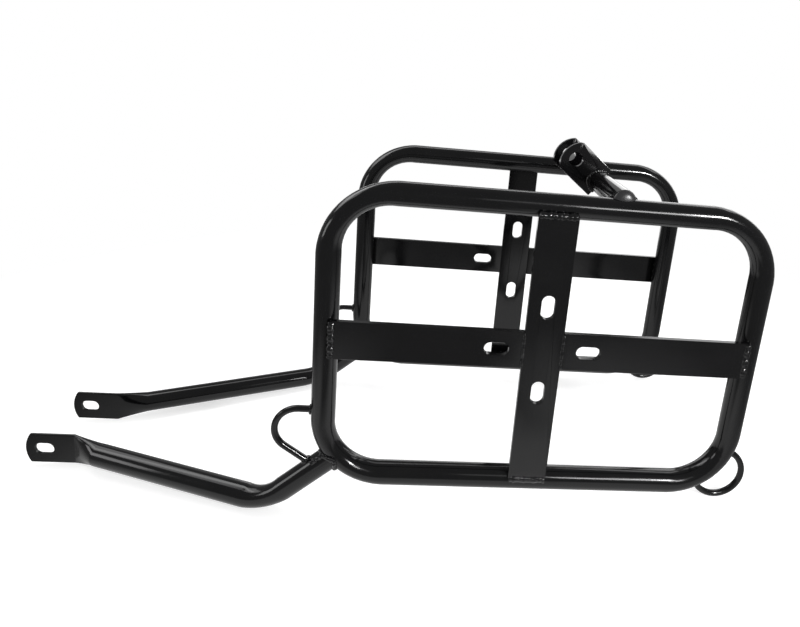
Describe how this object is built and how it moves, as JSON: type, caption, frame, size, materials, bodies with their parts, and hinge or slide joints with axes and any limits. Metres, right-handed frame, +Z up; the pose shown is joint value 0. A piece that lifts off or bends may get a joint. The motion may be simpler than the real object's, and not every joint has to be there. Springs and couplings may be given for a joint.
{
  "type": "motorcycle luggage rack",
  "caption": "Welded tube side racks for a motorcycle, braced by slotted flat bars, with bent flattened-end legs, strap rings and a cross tube that carries a fork bracket.",
  "frame": {"origin": "middle of the bounding box in X and Y, at its lowest height", "axes": "the side frames lie level, as fitted: +X to the rear of the motorcycle, +Y to its right side, +Z up; the part is symmetric about the plane Y = 0"},
  "size_m": [0.712, 0.2446, 0.37],
  "materials": {
    "black_paint": "gloss black paint over steel tube, rod and flat bar",
    "weld_bead": "gloss black paint over uneven weld beads"
  },
  "bodies": {
    "root": {"left_frame": "black_paint", "left_upright_bar": "black_paint", "left_front_cross_bar": "black_paint", "left_rear_cross_bar": "black_paint", "left_leg": "black_paint", "left_front_ring": "black_paint", "left_rear_ring": "black_paint", "left_fork_plate": "black_paint", "left_bar_welds": "weld_bead", "left_leg_weld": "weld_bead", "left_ring_welds": "weld_bead", "left_cross_tube_weld": "weld_bead", "left_fork_weld": "weld_bead", "right_frame": "black_paint", "right_upright_bar": "black_paint", "right_front_cross_bar": "black_paint", "right_rear_cross_bar": "black_paint", "right_leg": "black_paint", "right_front_ring": "black_paint", "right_rear_ring": "black_paint", "right_fork_plate": "black_paint", "right_bar_welds": "weld_bead", "right_leg_weld": "weld_bead", "right_ring_welds": "weld_bead", "right_cross_tube_weld": "weld_bead", "right_fork_weld": "weld_bead", "cross_tube": "black_paint"}
  },
  "joints": []
}
